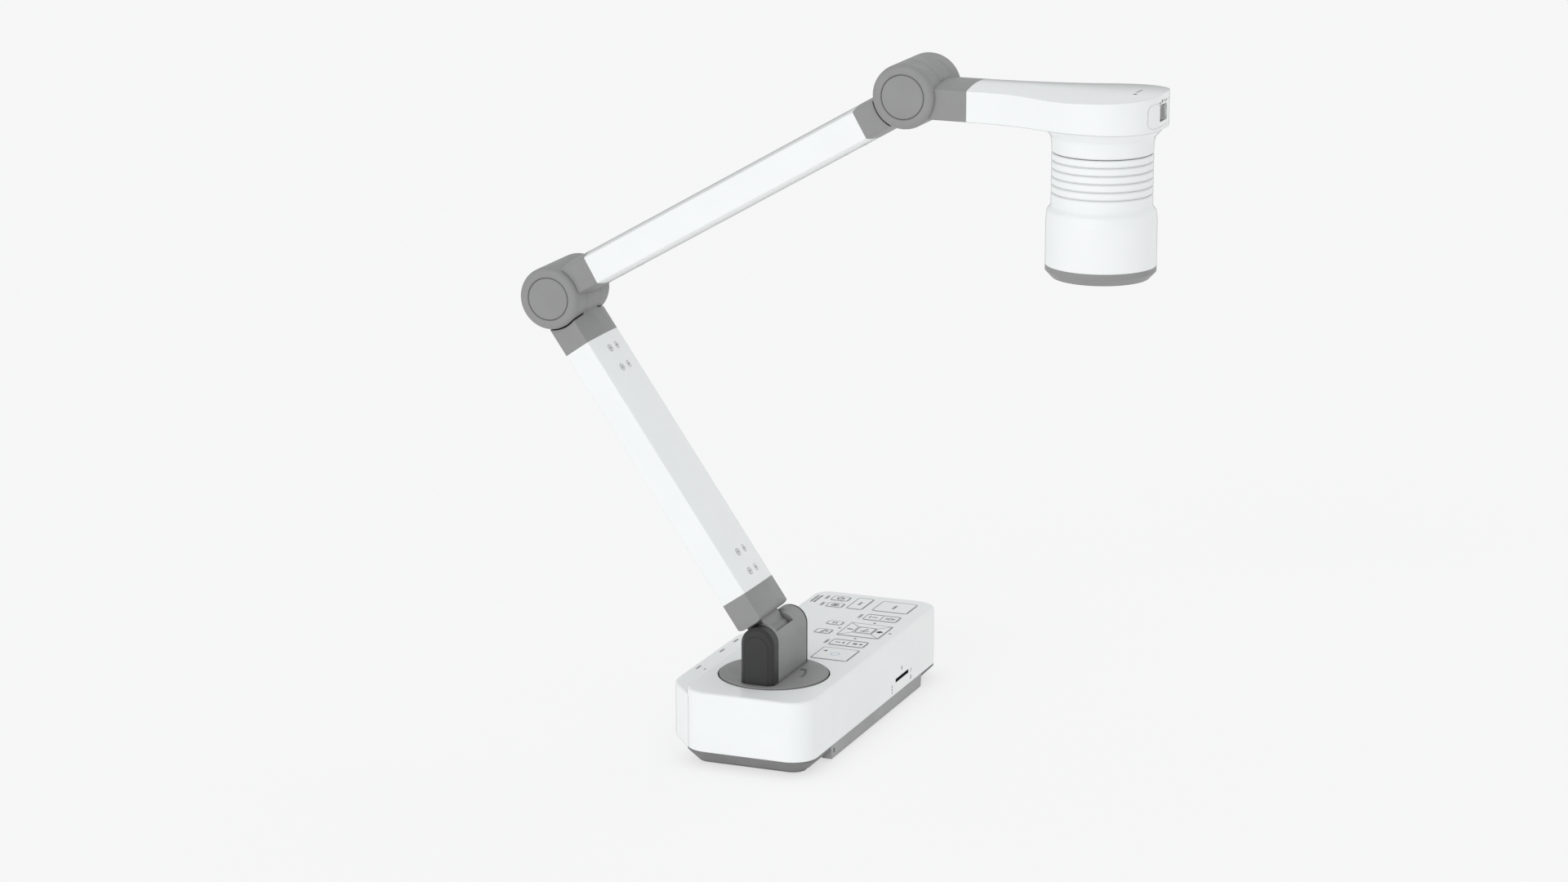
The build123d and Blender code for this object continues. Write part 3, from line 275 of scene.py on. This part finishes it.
def dark_plastic():
    """Grey rim of the barrel, smoother than the hinges."""
    return moulded("barrel_rim", HINGE_GREY, 0.45, 0.45, 0.03, (0.36, 0.36, 0.36), 0.35, 0.05)


def tray_plastic():
    """Dark grey underside of the base."""
    return moulded("tray_grey", (0.185, 0.185, 0.185), 0.6, 0.6, 0.05, (0.3, 0.3, 0.3), 0.4, 0.06)


def skirt_plastic():
    """Side panel, a lighter grey than the tray."""
    return moulded("skirt_grey", (0.33, 0.33, 0.33), 0.52, 0.45, 0.035, (0.45, 0.45, 0.45), 0.35, 0.05)


def black_plastic():
    """Satin black caps."""
    return moulded("black_cap", (0.027, 0.027, 0.028), 0.5, 0.4, 0.025, (0.06, 0.06, 0.06), 0.3, 0.08)


def switch_plastic():
    """Grey slide knob."""
    return moulded("switch_knob", (0.32, 0.32, 0.32), 0.45, 0.4, 0.02, (0.5, 0.5, 0.5), 0.5, 0.05)


def socket_plastic():
    """Matt black insulation of the power inlet."""
    return moulded("socket_black", (0.03, 0.03, 0.03), 0.55, 0.3, 0.02, (0.1, 0.1, 0.1), 0.4, 0.08)


def bush_plastic():
    """Waxy self-lubricating plastic of bushes and washers."""
    return moulded("bush_natural", (0.72, 0.7, 0.62), 0.35, 0.8, 0.01, (0.8, 0.78, 0.7), 0.3, 0.05)


def foot_rubber():
    """Black rubber with a dusty bloom."""
    material, tree, shader = node_tree("foot_rubber")
    dust = spread(tree, noise(tree, 2.5, 5.0, 0.7), 0.0, 0.5)
    tone = mix_colour(tree, dust, (0.022, 0.022, 0.024), (0.09, 0.088, 0.085))
    tree.links.new(tone, shader.inputs["Base Color"])
    shader.inputs["Roughness"].default_value = 0.85
    bump(tree, shader, noise(tree, 0.6, 4.0, 0.7), 0.06)
    return material


def metal(name, colour, roughness, scratch_mm, stretch):
    """Metal with a stained tone and scratches, drawn out where stretch is under 1."""
    material, tree, shader = node_tree(name)
    place = add(tree, "ShaderNodeTexCoord")
    scale = add(tree, "ShaderNodeMapping")
    scale.inputs["Scale"].default_value = stretch
    tree.links.new(place.outputs["Object"], scale.inputs["Vector"])
    lines = add(tree, "ShaderNodeTexNoise")
    lines.inputs["Scale"].default_value = 1.0 / (scratch_mm * MM)
    lines.inputs["Detail"].default_value = 4.0
    tree.links.new(scale.outputs["Vector"], lines.inputs["Vector"])
    stain = spread(tree, noise(tree, 12.0, 4.0), 0.0, 0.6)
    dull = tuple(c * 0.72 for c in colour)
    tree.links.new(mix_colour(tree, stain, colour, dull), shader.inputs["Base Color"])
    shader.inputs["Metallic"].default_value = 1.0
    gloss = spread(tree, lines.outputs["Fac"], roughness - 0.08, roughness + 0.12)
    tree.links.new(gloss, shader.inputs["Roughness"])
    bump(tree, shader, lines.outputs["Fac"], 0.015, 0.5)
    return material


def steel():
    """Plated steel of screws, pins and the ballast."""
    return metal("plated_steel", (0.56, 0.57, 0.58), 0.34, 0.4, (1.0, 1.0, 1.0))


def screw_paint():
    """Screws painted to match the casing."""
    return moulded("painted_screw", (0.7, 0.72, 0.72), 0.4, 0.3, 0.01, (0.75, 0.76, 0.76), 0.3, 0.04)


def aluminium():
    """Drawn aluminium bars and the cast pedestal."""
    return metal("drawn_aluminium", (0.78, 0.78, 0.79), 0.38, 0.5, (0.12, 1.0, 1.0))


def socket_metal():
    """Bright plated shells of the sockets."""
    return metal("socket_shell", (0.72, 0.72, 0.74), 0.22, 0.3, (1.0, 0.2, 1.0))


def board():
    """Green circuit board: solder mask over faint tracks."""
    material, tree, shader = node_tree("circuit_board")
    place = add(tree, "ShaderNodeTexCoord")
    tracks = add(tree, "ShaderNodeTexBrick")
    tracks.inputs["Scale"].default_value = 120.0
    tracks.inputs["Mortar Size"].default_value = 0.08
    tree.links.new(place.outputs["Object"], tracks.inputs["Vector"])
    tone = mix_colour(tree, tracks.outputs["Fac"], (0.012, 0.09, 0.04), (0.03, 0.17, 0.08))
    tree.links.new(tone, shader.inputs["Base Color"])
    shader.inputs["Roughness"].default_value = 0.3
    bump(tree, shader, tracks.outputs["Fac"], 0.05)
    return material


def lens_glass():
    """Dark coated lens, with a violet-green painted reflection at grazing angles for the coating's bloom.
    """
    material, tree, shader = node_tree("coated_glass")
    painted_bloom = add(tree, "ShaderNodeLayerWeight")
    painted_bloom.inputs["Blend"].default_value = 0.35
    # painted reflection: colour lighter and bluer where the lens turns from the viewer
    tone = mix_colour(tree, painted_bloom.outputs["Facing"], (0.012, 0.01, 0.03), (0.08, 0.14, 0.2))
    tree.links.new(tone, shader.inputs["Base Color"])
    shader.inputs["Roughness"].default_value = 0.03
    shader.inputs["Coat Weight"].default_value = 1.0
    shader.inputs["Coat Roughness"].default_value = 0.02
    bump(tree, shader, noise(tree, 6.0, 1.0), 0.002, 0.2)
    return material


def clear_cover():
    """Frosted ring in front of the lamps."""
    material, tree, shader = node_tree("lamp_diffuser")
    shader.inputs["Base Color"].default_value = (0.93, 0.95, 0.96, 1.0)
    shader.inputs["Transmission Weight"].default_value = 0.55
    shader.inputs["IOR"].default_value = 1.46
    tree.links.new(spread(tree, noise(tree, 0.8, 3.0), 0.3, 0.5), shader.inputs["Roughness"])
    bump(tree, shader, noise(tree, 0.9, 3.0), 0.02)
    return material


def ink(name, colour):
    """Printed ink: slightly uneven, semi-matt."""
    material, tree, shader = node_tree(name)
    patch = spread(tree, noise(tree, 0.5, 3.0), 0.0, 0.35)
    faded = tuple(c + (0.75 - c) * 0.25 for c in colour)
    tree.links.new(mix_colour(tree, patch, colour, faded), shader.inputs["Base Color"])
    tree.links.new(spread(tree, noise(tree, 0.7, 2.0), 0.45, 0.6), shader.inputs["Roughness"])
    return material


FINISHES = {
    "white_plastic": white_plastic, "key_plastic": key_plastic, "grey_plastic": grey_plastic,
    "dark_plastic": dark_plastic, "tray_plastic": tray_plastic, "skirt_plastic": skirt_plastic,
    "black_plastic": black_plastic, "switch_plastic": switch_plastic, "socket_plastic": socket_plastic,
    "bush_plastic": bush_plastic, "foot_rubber": foot_rubber, "steel": steel, "aluminium": aluminium,
    "socket_metal": socket_metal, "screw_paint": screw_paint, "board": board,
    "lens_glass": lens_glass, "clear_cover": clear_cover,
}


def dress_cad():
    """Gives each CAD node its slot's material."""
    finishes = {slot: build() for slot, build in FINISHES.items()}
    for name, piece in NODES.items():
        piece.data.materials.clear()
        piece.data.materials.append(finishes[SLOT_OF[name]])


# ---------------------------------------------------------------- printed marks

def box_mm(node):
    """Lowest and highest corner of a node's box, in millimetres."""
    low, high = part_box(node)
    return low / MM, high / MM


def centre_of(node):
    """Middle of a node's box seen from above."""
    low, high = box_mm(node)
    return (low.x + high.x) / 2, (low.y + high.y) / 2


def beside(node, dx, dy):
    """Point beside a node's middle, seen from above."""
    x, y = centre_of(node)
    return x + dx, y + dy


def bar(x, y, width, height):
    """Upright rectangle about a centre."""
    return [(x - width / 2, y - height / 2), (x + width / 2, y - height / 2),
            (x + width / 2, y + height / 2), (x - width / 2, y + height / 2)]


def stroke(x0, y0, x1, y1, width):
    """Straight stroke between two points."""
    length = math.hypot(x1 - x0, y1 - y0)
    nx, ny = -(y1 - y0) / length * width / 2, (x1 - x0) / length * width / 2
    return [(x0 + nx, y0 + ny), (x0 - nx, y0 - ny), (x1 - nx, y1 - ny), (x1 + nx, y1 + ny)]


def round_point(x, y, radius, degrees):
    """Point on a circle about (x, y)."""
    angle = math.radians(degrees)
    return x + radius * math.cos(angle), y + radius * math.sin(angle)


def dot(x, y, radius, sides=20):
    """Filled circle."""
    return [round_point(x, y, radius, 360 * i / sides) for i in range(sides)]


def arc(x, y, radius, width, start, end, steps=24):
    """Curved stroke, as a list of short pieces, between two angles in degrees."""
    inner, outer = radius - width / 2, radius + width / 2
    angles = [start + (end - start) * i / steps for i in range(steps + 1)]
    return [
        [round_point(x, y, inner, a), round_point(x, y, outer, a),
         round_point(x, y, outer, b), round_point(x, y, inner, b)]
        for a, b in zip(angles, angles[1:])
    ]


def ring(x, y, radius, width, steps=24):
    """Whole circle drawn with a line."""
    return arc(x, y, radius, width, 0, 360, steps)


def frame_lines(x, y, half_x, half_y, radius):
    """Outline of a rounded rectangle about a centre."""
    lines = []
    for side in (-1, 1):
        lines.append(bar(x, y + side * half_y, 2 * (half_x - radius), LINE))
        lines.append(bar(x + side * half_x, y, LINE, 2 * (half_y - radius)))
    for side_x, side_y, start in ((1, 1, 0), (-1, 1, 90), (-1, -1, 180), (1, -1, 270)):
        corner_x = x + side_x * (half_x - radius)
        corner_y = y + side_y * (half_y - radius)
        lines += arc(corner_x, corner_y, radius, LINE, start, start + 90, 6)
    return lines


def on_top(height):
    """Places a mark's (u, v) on a level face, w above it."""
    return lambda u, v, w: Vector((u, v, height + w)) * MM


def on_side(x):
    """Places a mark's (u, v) on a face that looks along +X: u along Y, v up, w out."""
    return lambda u, v, w: Vector((x + w, u, v)) * MM


def on_crown(top, half_width):
    """Places a mark on the head's top, which is arched across its width."""
    radius = (half_width ** 2 + CROWN_RISE ** 2) / (2 * CROWN_RISE)
    return lambda u, v, w: Vector((u, v, top - radius + math.sqrt(radius ** 2 - v ** 2) + w)) * MM


def print_marks(name, shapes, place, body, material):
    """One piece made of thin plates, one for each shape."""
    vertices, faces = [], []
    for shape in shapes:
        area = sum(a[0] * b[1] - b[0] * a[1] for a, b in zip(shape, shape[1:] + shape[:1]))
        outline = shape if area > 0 else shape[::-1]
        first, count = len(vertices), len(outline)
        vertices += [place(u, v, INK_LIFT) for u, v in outline]
        vertices += [place(u, v, INK_LIFT + INK_DEPTH) for u, v in outline]
        faces.append([first + i for i in reversed(range(count))])
        faces.append([first + count + i for i in range(count)])
        for i in range(count):
            j = (i + 1) % count
            faces.append([first + i, first + j, first + count + j, first + count + i])
    mesh = bpy.data.meshes.new(name)
    mesh.from_pydata(vertices, [], faces)
    mesh.materials.append(material)
    piece = bpy.data.objects.new(name, mesh)
    bpy.context.scene.collection.objects.link(piece)
    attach(piece, body)


def dashes(x, y, width, height, rows=1):
    """Short dashes along the second direction, which stand for a printed caption."""
    shapes = []
    row_pitch = width / rows
    cells = max(2, int(height / DASH_PITCH))
    cell_pitch = height / cells
    for row in range(rows):
        for cell in range(cells):
            across = (row - (rows - 1) / 2) * row_pitch
            along = (cell - (cells - 1) / 2) * cell_pitch
            share = 0.72 if (cell + row) % 3 else 0.5
            shapes.append(bar(x + across, y + along, row_pitch * 0.66, cell_pitch * share))
    return shapes


# ---------------------------------------------------------------- marks on the keys, base and head

def power_symbol(x, y):
    """Open circle with a bar in its gap."""
    return arc(x, y, 2.4, 1.2, 120, 420) + [bar(x, y + 2.0, 1.2, 2.8)]


def source_symbol(x, y):
    """Dot in a circle."""
    return ring(x, y, 2.6, 0.9) + [dot(x, y, 1.5)]


def menu_symbol(x, y):
    """Stands for a short word."""
    return dashes(x, y, 2.8, 9.0)


def auto_symbol(x, y):
    """Stands for a longer word."""
    return dashes(x, y, 3.0, 10.0)


def freeze_symbol(x, y):
    """Two upright bars."""
    return [bar(x + dx, y, 1.1, 3.6) for dx in (-1.1, 1.1)]


def lamp_symbol(x, y):
    """Slanted stroke and a bar."""
    return [stroke(x - 1.2, y - 3.4, x + 1.2, y + 3.4, 1.6), bar(x + 2.8, y, 0.9, 4.4)]


def enter_symbol(x, y):
    """Slanted stroke over an arc."""
    return [stroke(x - 1.2, y - 3.0, x + 1.2, y + 3.0, 1.3)] + arc(x, y, 3.6, 0.7, 200, 340, 10)


def bright_symbol(x, y):
    """Upright and level bars on one end, a circle between bars on the other, and a divider."""
    bars = ((-9.0, 1.0, 4.4), (-5.4, 4.2, 1.3), (0.0, LINE, 8.0), (3.4, 0.8, 3.6), (9.6, 0.8, 3.6))
    return [bar(x + dx, y, width, height) for dx, width, height in bars] + ring(x + 6.5, y, 1.8, 1.0)


def zoom_symbol(x, y):
    """Wide and narrow marks on the two ends, with a divider between."""
    bars = ((-8.0, 3.8, 1.5), (-3.8, 1.2, 4.0), (0.0, LINE, 8.0),
            (5.0, 3.0, 3.4), (9.4, 3.0, 1.1), (9.4, 1.1, 3.0))
    return [bar(x + dx, y, width, height) for dx, width, height in bars]


def capture_symbol(x, y):
    """Small triangle in the key's corner."""
    return [[(x - 11.0, y + 5.2), (x - 8.0, y + 7.2), (x - 8.0, y + 3.2)]]


def pad_symbol(x, y):
    """Minus on the plate's left quarter, plus on its right."""
    return [bar(x - 11.3, y, 4.2, 2.0), bar(x + 11.3, y, 5.0, 2.2), bar(x + 11.3, y, 2.2, 5.0)]


KEY_SYMBOLS = {
    "key_power": power_symbol, "key_source": source_symbol, "key_menu": menu_symbol,
    "key_auto": auto_symbol, "key_freeze": freeze_symbol, "key_lamp": lamp_symbol,
    "key_enter": enter_symbol, "rocker_bright": bright_symbol, "rocker_zoom": zoom_symbol,
    "key_capture": capture_symbol, "key_pad": pad_symbol,
}


def outline_half(node):
    """Half the size of a key's printed outline, along X and Y."""
    low, high = box_mm(node)
    return (high.x - low.x) / 2 - OUTLINE_INSET, (high.y - low.y) / 2 - OUTLINE_INSET


def key_outline(node):
    """Printed outline of a key, set by its box; a rocker's box takes in its pivot pins."""
    return frame_lines(*centre_of(node), *outline_half(node), 1.8)


def pad_lines():
    """Diagonal dividers of the four-way plate and the outline round its middle key."""
    x, y = centre_of("key_pad")
    half_x, half_y = outline_half("key_pad")
    dividers = [
        stroke(x + side_x * PAD_HOLE, y + side_y * PAD_HOLE, x + side_x * half_x, y + side_y * half_y, LINE)
        for side_x in (-1, 1) for side_y in (-1, 1)
    ]
    return dividers + frame_lines(x, y, PAD_HOLE, PAD_HOLE, 1.4)


def draw_keys(grey, dark, blue):
    """Prints the outline and the symbol of every key."""
    place = on_top(box_mm("key_menu")[1].z)
    for node, symbol in KEY_SYMBOLS.items():
        outline = key_outline(node)
        if node == "key_pad":
            outline += pad_lines()
        print_marks(node + ".outline", outline, place, node, grey)
        print_marks(node + ".symbol", symbol(*centre_of(node)), place, node, dark)
    circle = ring(*centre_of("key_capture"), 3.1, 0.6, 40)
    print_marks("key_capture.ring", circle, place, "key_capture", blue)


def captions(ink):
    """Captions beside the keys and dots round the four-way plate."""
    low, high = box_mm("base_shell")
    marks = dashes(low.x + 25.5, high.y - 22.8, 5.4, 18.0, 2)
    for node, dx, length in (("key_power", -10.6, 9.0), ("key_source", -10.0, 9.0),
                             ("rocker_bright", -16.6, 10.0), ("rocker_zoom", -16.6, 10.0)):
        marks += dashes(*beside(node, dx, 0), 3.2, length)
    for dx, dy in ((0, 20.2), (-19.4, 0), (0.4, -20.4), (19.4, 0)):
        marks.append(dot(*beside("key_pad", dx, dy), 1.1))
    print_marks("base_shell.captions", marks, on_top(high.z), "base", ink)


def socket_marks(ink):
    """Captions on the shelf above the sockets, with a dot at the power inlet."""
    low, high = box_mm("base_shell")
    marks = []
    for node, length in (("power_socket", 8.0), ("video_socket", 9.0), ("display_socket", 9.0)):
        marks += dashes(low.x + 4.6, centre_of(node)[1], 2.6, length)
    marks.append(dot(low.x + 10.3, centre_of("power_socket")[1] - 2.0, 0.9))
    print_marks("base_shell.socket_marks", marks, on_top(high.z - SHELF_DROP), "base", ink)


def card_marks(ink):
    """Marks round the card slot in the long side."""
    low, high = box_mm("card_socket")
    y, z = (low.y + high.y) / 2, (low.z + high.z) / 2
    marks = [bar(y - 0.6, z + 6.6, 1.4, 2.6), stroke(y + 17.2, z - 1.6, y + 19.2, z + 1.0, 0.7)]
    marks += ring(y + 18.2, z - 5.6, 1.3, 0.5, 16)
    marks += dashes(y - 20.6, z - 4.2, 1.8, 7.0)
    side = box_mm("base_shell")[1].x
    print_marks("base_shell.card_marks", marks, on_side(side), "base", ink)


def turntable_arrow(ink):
    """Curved arrow beside the stand, showing that the disc turns."""
    x, y = centre_of("turntable_disc")
    marks = arc(x, y, ARROW_RADIUS, 1.9, -10, 34, 14)
    tip_x, tip_y = round_point(x, y, ARROW_RADIUS, 36)
    marks.append([(tip_x - 3.2, tip_y + 2.4), (tip_x - 2.4, tip_y - 3.0), (tip_x + 3.0, tip_y + 0.2)])
    top = box_mm("turntable_disc")[1].z
    print_marks("turntable_disc.arrow", marks, on_top(top), "turntable", ink)


def switch_marks(ink):
    """Small signs above the lamp switch, for its positions."""
    nose = box_mm("head_top_cover")[1].x
    z = box_mm("lamp_switch")[1].z + 2.6
    marks = [bar(-8.2, z - 1.4, 0.9, 2.6), bar(-6.6, z - 0.6, 1.0, 1.0)]
    marks += [stroke(-4.2, z - 0.6, -1.6, z + 0.8, 0.9), dot(-3.6, z + 0.8, 0.7, 12)]
    marks += [bar(2.2, z, 1.2, 1.2), bar(5.4, z, 1.2, 1.2)]
    print_marks("head_top_cover.switch_marks", marks, on_side(nose), "head", ink)


def top_mark(ink):
    """Triangle and three dashes on the head's top, over the barrel's front."""
    low, high = box_mm("head_top_cover")
    x = centre_of("barrel_sleeve")[0] + 24.5
    marks = [[(x - 1.6, -12.0), (x + 1.6, -12.0), (x, -8.0)]]
    marks += [stroke(x - 0.6, y, x - 0.4, y + 3.0, 1.0) for y in (-5.0, -1.0, 3.0)]
    crown = on_crown(high.z, (high.y - low.y) / 2)
    print_marks("head_top_cover.top_mark", marks, crown, "head", ink)


# ---------------------------------------------------------------- studio

def pale_floor():
    """Large level sheet that shines a little, so that it is as pale as the sky."""
    material, _, shader = node_tree("pale_floor")
    shader.inputs["Base Color"].default_value = FLOOR_GREY
    shader.inputs["Roughness"].default_value = 1.0
    shader.inputs["Specular IOR Level"].default_value = 0.0
    shader.inputs["Emission Color"].default_value = (1.0, 1.0, 1.0, 1.0)
    shader.inputs["Emission Strength"].default_value = FLOOR_GLOW
    mesh = bpy.data.meshes.new("floor")
    corners = [(x * FLOOR_HALF, y * FLOOR_HALF, 0) for x, y in ((-1, -1), (1, -1), (1, 1), (-1, 1))]
    mesh.from_pydata(corners, [], [(0, 1, 2, 3)])
    mesh.materials.append(material)
    floor = bpy.data.objects.new("floor", mesh)
    bpy.context.scene.collection.objects.link(floor)


def even_sky():
    """Even white sky, brighter to the camera than as a light."""
    world = bpy.data.worlds.new("studio")
    bpy.context.scene.world = world
    world.use_nodes = True
    tree = world.node_tree
    sky = tree.nodes["Background"]
    sky.inputs["Color"].default_value = SKY_COLOUR
    ray = add(tree, "ShaderNodeLightPath")
    strength = add(tree, "ShaderNodeMix")
    strength.inputs["A"].default_value = SKY_LIGHT
    strength.inputs["B"].default_value = SKY_SEEN
    tree.links.new(ray.outputs["Is Camera Ray"], strength.inputs["Factor"])
    tree.links.new(strength.outputs["Result"], sky.inputs["Strength"])


def soft_sun(name, azimuth, elevation, power, width):
    """Broad sun; azimuth 0 shines from -Y, and 90 from +X."""
    sun = bpy.data.lights.new(name, "SUN")
    sun.energy = power
    sun.angle = math.radians(width)
    lamp = bpy.data.objects.new(name, sun)
    bpy.context.scene.collection.objects.link(lamp)
    turn, rise = math.radians(azimuth), math.radians(elevation)
    towards = Vector((math.sin(turn) * math.cos(rise), -math.cos(turn) * math.cos(rise), math.sin(rise)))
    lamp.rotation_mode = "QUATERNION"
    lamp.rotation_quaternion = towards.to_track_quat("Z", "Y")


def camera():
    """Long lens, from the right and a little above."""
    data = bpy.data.cameras.new("camera")
    data.lens = FOCAL_LENGTH
    data.sensor_width = 36.0
    data.clip_start = 0.05
    data.clip_end = 200.0
    view = bpy.data.objects.new("camera", data)
    view.location = CAMERA_PLACE
    view.rotation_euler = (math.radians(90 - CAMERA_DOWN), 0, math.radians(CAMERA_TURN))
    bpy.context.scene.collection.objects.link(view)
    bpy.context.scene.camera = view


dress_cad()
ink_grey = ink("ink_grey", (0.22, 0.235, 0.245))
ink_dark = ink("ink_dark", (0.09, 0.095, 0.10))
ink_blue = ink("ink_blue", (0.42, 0.56, 0.78))
draw_keys(ink_grey, ink_dark, ink_blue)
for draw in (captions, socket_marks, card_marks, turntable_arrow, switch_marks, top_mark):
    draw(ink_dark)
pale_floor()
even_sky()
for sun_values in SUNS:
    soft_sun(*sun_values)
camera()
bpy.context.scene.view_settings.view_transform = "Standard"
